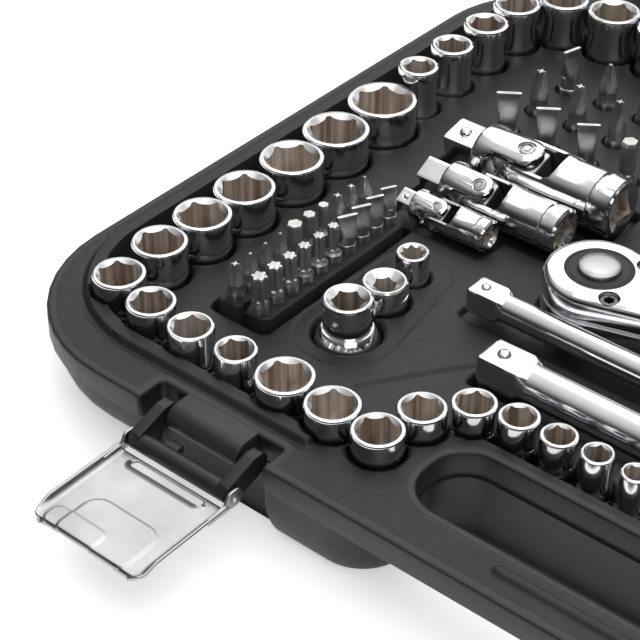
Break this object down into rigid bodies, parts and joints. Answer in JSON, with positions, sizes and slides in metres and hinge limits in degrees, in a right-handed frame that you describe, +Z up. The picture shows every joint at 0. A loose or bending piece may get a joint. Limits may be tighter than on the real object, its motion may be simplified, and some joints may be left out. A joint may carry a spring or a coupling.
{
  "type": "socket wrench set in case",
  "caption": "Three-drive socket wrench set in a hinged moulded case with ratchets, universal joints, extension bars, bits and two latches.",
  "frame": {"origin": "centre of the base half's resting face", "axes": "+X to the right along the handle side, +Y from the handle to the hinge, +Z up; the lid lies open flat behind the hinge"},
  "size_m": [0.44, 0.7134, 0.047],
  "materials": {
    "case_plastic": "fine moulded texture, satin",
    "tray_plastic": "fine moulded texture, satin",
    "latch_plastic": "smooth moulded nylon",
    "latch_steel": "satin sheet",
    "steel": "satin",
    "chrome": "polished",
    "bit_steel": "dark satin with bright worn edges",
    "dark_metal": "satin black",
    "grip_rubber": "matte",
    "rack_rubber": "matte"
  },
  "bodies": {
    "case_base": {"base_shell": "case_plastic", "base_tray": "tray_plastic", "base_knuckles": "case_plastic", "hinge_pins": "steel"},
    "lid": {"lid_shell": "case_plastic", "lid_liner": "tray_plastic", "lid_knuckles": "case_plastic"},
    "latch_left_link": {"latch_left_link": "latch_plastic", "latch_left_pin": "steel"},
    "latch_left_plate": {"latch_left_plate": "latch_steel"},
    "latch_right_link": {"latch_right_link": "latch_plastic", "latch_right_pin": "steel"},
    "latch_right_plate": {"latch_right_plate": "latch_steel"},
    "ratchet_half": {"ratchet_half_body": "chrome", "ratchet_half_grip": "grip_rubber", "ratchet_half_plate": "dark_metal", "ratchet_half_screws": "bit_steel"},
    "ratchet_half_drive": {"ratchet_half_drive": "steel"},
    "ratchet_half_button": {"ratchet_half_button": "steel"},
    "ratchet_half_lever": {"ratchet_half_lever": "dark_metal"},
    "ratchet_medium": {"ratchet_medium_body": "chrome", "ratchet_medium_grip": "grip_rubber", "ratchet_medium_plate": "dark_metal", "ratchet_medium_screws": "bit_steel"},
    "ratchet_medium_drive": {"ratchet_medium_drive": "steel"},
    "ratchet_medium_button": {"ratchet_medium_button": "steel"},
    "ratchet_medium_lever": {"ratchet_medium_lever": "dark_metal"},
    "ratchet_quarter": {"ratchet_quarter_body": "chrome", "ratchet_quarter_plate": "dark_metal", "ratchet_quarter_screws": "bit_steel"},
    "ratchet_quarter_drive": {"ratchet_quarter_drive": "steel"},
    "ratchet_quarter_button": {"ratchet_quarter_button": "steel"},
    "ratchet_quarter_lever": {"ratchet_quarter_lever": "dark_metal"},
    "ujoint_quarter_socket": {"ujoint_quarter_socket": "chrome"},
    "ujoint_quarter_cross": {"ujoint_quarter_cross": "chrome"},
    "ujoint_quarter_drive": {"ujoint_quarter_drive": "chrome"},
    "ujoint_medium_socket": {"ujoint_medium_socket": "chrome"},
    "ujoint_medium_cross": {"ujoint_medium_cross": "chrome"},
    "ujoint_medium_drive": {"ujoint_medium_drive": "chrome"},
    "ujoint_half_socket": {"ujoint_half_socket": "chrome"},
    "ujoint_half_cross": {"ujoint_half_cross": "chrome"},
    "ujoint_half_drive": {"ujoint_half_drive": "chrome"},
    "bit_rack": {"bit_rack": "rack_rubber", "rack_bits": "bit_steel"},
    "spinner": {"spinner_handle": "grip_rubber", "spinner_shaft": "chrome"},
    "extension_half": {"extension_half": "chrome"},
    "extension_medium": {"extension_medium": "chrome"},
    "extension_quarter": {"extension_quarter": "chrome"},
    "large_bits": {"large_bits": "bit_steel"},
    "sockets_medium": {"sockets_medium": "chrome"},
    "sockets_quarter": {"sockets_quarter": "chrome"},
    "sockets_tall": {"sockets_tall": "chrome"},
    "sockets_large": {"sockets_large": "chrome"},
    "sockets_star": {"sockets_star": "chrome"},
    "plug_sockets": {"plug_sockets": "chrome"},
    "bit_holders": {"holder_large": "chrome", "holder_medium": "chrome", "holder_small": "chrome"},
    "drive_adapters": {"drive_adapters": "chrome"}
  },
  "joints": [
    {"name": "lid_hinge", "type": "hinge", "parent": "case_base", "child": "lid", "pos_m": [0, 0.1685, 0.03], "axis": [-1, 0, 0], "range_deg": [-180, 0]},
    {"name": "latch_left_swing", "type": "hinge", "parent": "case_base", "child": "latch_left_link", "pos_m": [-0.118, -0.157, 0.025], "axis": [-1, 0, 0], "range_deg": [0, 95]},
    {"name": "latch_left_plate_turn", "type": "hinge", "parent": "latch_left_link", "child": "latch_left_plate", "pos_m": [-0.118, -0.1705, 0.021], "axis": [-1, 0, 0], "range_deg": [-20, 95]},
    {"name": "latch_right_swing", "type": "hinge", "parent": "case_base", "child": "latch_right_link", "pos_m": [0.118, -0.157, 0.025], "axis": [-1, 0, 0], "range_deg": [0, 95]},
    {"name": "latch_right_plate_turn", "type": "hinge", "parent": "latch_right_link", "child": "latch_right_plate", "pos_m": [0.118, -0.1705, 0.021], "axis": [-1, 0, 0], "range_deg": [-20, 95]},
    {"name": "ratchet_half_lift", "type": "slide", "parent": "case_base", "child": "ratchet_half", "axis": [0, 0, 1], "range_m": [0, 0.06]},
    {"name": "ratchet_half_turn", "type": "hinge", "parent": "ratchet_half", "child": "ratchet_half_drive", "pos_m": [-0.0605, -0.025, 0.021], "axis": [0, 0, 1], "continuous": true},
    {"name": "ratchet_half_release", "type": "slide", "parent": "ratchet_half", "child": "ratchet_half_button", "axis": [0, 0, -1], "range_m": [0, 0.0018], "stiffness_N_per_m": 1500, "springref_m": -0.0006},
    {"name": "ratchet_half_reverse", "type": "hinge", "parent": "ratchet_half", "child": "ratchet_half_lever", "pos_m": [-0.03554, -0.025, 0.043], "axis": [0, 0, 1], "range_deg": [-20, 20]},
    {"name": "ratchet_medium_lift", "type": "slide", "parent": "case_base", "child": "ratchet_medium", "axis": [0, 0, 1], "range_m": [0, 0.06]},
    {"name": "ratchet_medium_turn", "type": "hinge", "parent": "ratchet_medium", "child": "ratchet_medium_drive", "pos_m": [-0.047, 0.017, 0.023], "axis": [0, 0, 1], "continuous": true},
    {"name": "ratchet_medium_release", "type": "slide", "parent": "ratchet_medium", "child": "ratchet_medium_button", "axis": [0, 0, -1], "range_m": [0, 0.0018], "stiffness_N_per_m": 1500, "springref_m": -0.0006},
    {"name": "ratchet_medium_reverse", "type": "hinge", "parent": "ratchet_medium", "child": "ratchet_medium_lever", "pos_m": [-0.02685, 0.017, 0.041], "axis": [0, 0, 1], "range_deg": [-20, 20]},
    {"name": "ratchet_quarter_lift", "type": "slide", "parent": "case_base", "child": "ratchet_quarter", "axis": [0, 0, 1], "range_m": [0, 0.06]},
    {"name": "ratchet_quarter_turn", "type": "hinge", "parent": "ratchet_quarter", "child": "ratchet_quarter_drive", "pos_m": [-0.054, 0.0505, 0.024], "axis": [0, 0, 1], "continuous": true},
    {"name": "ratchet_quarter_release", "type": "slide", "parent": "ratchet_quarter", "child": "ratchet_quarter_button", "axis": [0, 0, -1], "range_m": [0, 0.0018], "stiffness_N_per_m": 1500, "springref_m": -0.0006},
    {"name": "ratchet_quarter_reverse", "type": "hinge", "parent": "ratchet_quarter", "child": "ratchet_quarter_lever", "pos_m": [-0.0384, 0.0505, 0.039], "axis": [0, 0, 1], "range_deg": [-20, 20]},
    {"name": "ujoint_quarter_bend", "type": "hinge", "parent": "ujoint_quarter_socket", "child": "ujoint_quarter_cross", "pos_m": [-0.1325, -0.017, 0.029], "axis": [0, 0.8829, 0.4695], "range_deg": [0, 40]},
    {"name": "ujoint_quarter_sway", "type": "hinge", "parent": "ujoint_quarter_cross", "child": "ujoint_quarter_drive", "pos_m": [-0.1325, -0.017, 0.029], "axis": [0, -0.4695, 0.8829], "range_deg": [-2.5, 2.5]},
    {"name": "ujoint_medium_bend", "type": "hinge", "parent": "ujoint_medium_socket", "child": "ujoint_medium_cross", "pos_m": [-0.1255, 0, 0.031], "axis": [0, 0.8829, 0.4695], "range_deg": [0, 40]},
    {"name": "ujoint_medium_sway", "type": "hinge", "parent": "ujoint_medium_cross", "child": "ujoint_medium_drive", "pos_m": [-0.1255, 0, 0.031], "axis": [0, -0.4695, 0.8829], "range_deg": [-1.5, 1.5]},
    {"name": "ujoint_half_bend", "type": "hinge", "parent": "ujoint_half_socket", "child": "ujoint_half_cross", "pos_m": [-0.1225, 0.024, 0.032], "axis": [0, 0.9781, 0.2079], "range_deg": [0, 40]},
    {"name": "ujoint_half_sway", "type": "hinge", "parent": "ujoint_half_cross", "child": "ujoint_half_drive", "pos_m": [-0.1225, 0.024, 0.032], "axis": [0, -0.2079, 0.9781], "range_deg": [-2, 2]},
    {"name": "ujoint_quarter_lift", "type": "slide", "parent": "case_base", "child": "ujoint_quarter_socket", "axis": [0, 0, 1], "range_m": [0, 0.06]},
    {"name": "ujoint_medium_lift", "type": "slide", "parent": "case_base", "child": "ujoint_medium_socket", "axis": [0, 0, 1], "range_m": [0, 0.06]},
    {"name": "ujoint_half_lift", "type": "slide", "parent": "case_base", "child": "ujoint_half_socket", "axis": [0, 0, 1], "range_m": [0, 0.06]},
    {"name": "bit_rack_lift", "type": "slide", "parent": "case_base", "child": "bit_rack", "axis": [0, 0, 1], "range_m": [0, 0.05]},
    {"name": "spinner_lift", "type": "slide", "parent": "case_base", "child": "spinner", "axis": [0, 0, 1], "range_m": [0, 0.06]},
    {"name": "extension_half_lift", "type": "slide", "parent": "case_base", "child": "extension_half", "axis": [0, 0, 1], "range_m": [0, 0.05]},
    {"name": "extension_medium_lift", "type": "slide", "parent": "case_base", "child": "extension_medium", "axis": [0, 0, 1], "range_m": [0, 0.05]},
    {"name": "extension_quarter_lift", "type": "slide", "parent": "case_base", "child": "extension_quarter", "axis": [0, 0, 1], "range_m": [0, 0.05]},
    {"name": "large_bits_lift", "type": "slide", "parent": "case_base", "child": "large_bits", "axis": [0, 0, 1], "range_m": [0, 0.05]},
    {"name": "sockets_medium_lift", "type": "slide", "parent": "case_base", "child": "sockets_medium", "axis": [0, 0, 1], "range_m": [0, 0.05]},
    {"name": "sockets_quarter_lift", "type": "slide", "parent": "case_base", "child": "sockets_quarter", "axis": [0, 0, 1], "range_m": [0, 0.05]},
    {"name": "sockets_tall_lift", "type": "slide", "parent": "case_base", "child": "sockets_tall", "axis": [0, 0, 1], "range_m": [0, 0.06]},
    {"name": "sockets_large_lift", "type": "slide", "parent": "case_base", "child": "sockets_large", "axis": [0, 0, 1], "range_m": [0, 0.06]},
    {"name": "sockets_star_lift", "type": "slide", "parent": "case_base", "child": "sockets_star", "axis": [0, 0, 1], "range_m": [0, 0.05]},
    {"name": "plug_sockets_lift", "type": "slide", "parent": "case_base", "child": "plug_sockets", "axis": [0, 0, 1], "range_m": [0, 0.05]},
    {"name": "bit_holders_lift", "type": "slide", "parent": "case_base", "child": "bit_holders", "axis": [0, 0, 1], "range_m": [0, 0.05]},
    {"name": "drive_adapters_lift", "type": "slide", "parent": "case_base", "child": "drive_adapters", "axis": [0, 0, 1], "range_m": [0, 0.05]}
  ]
}
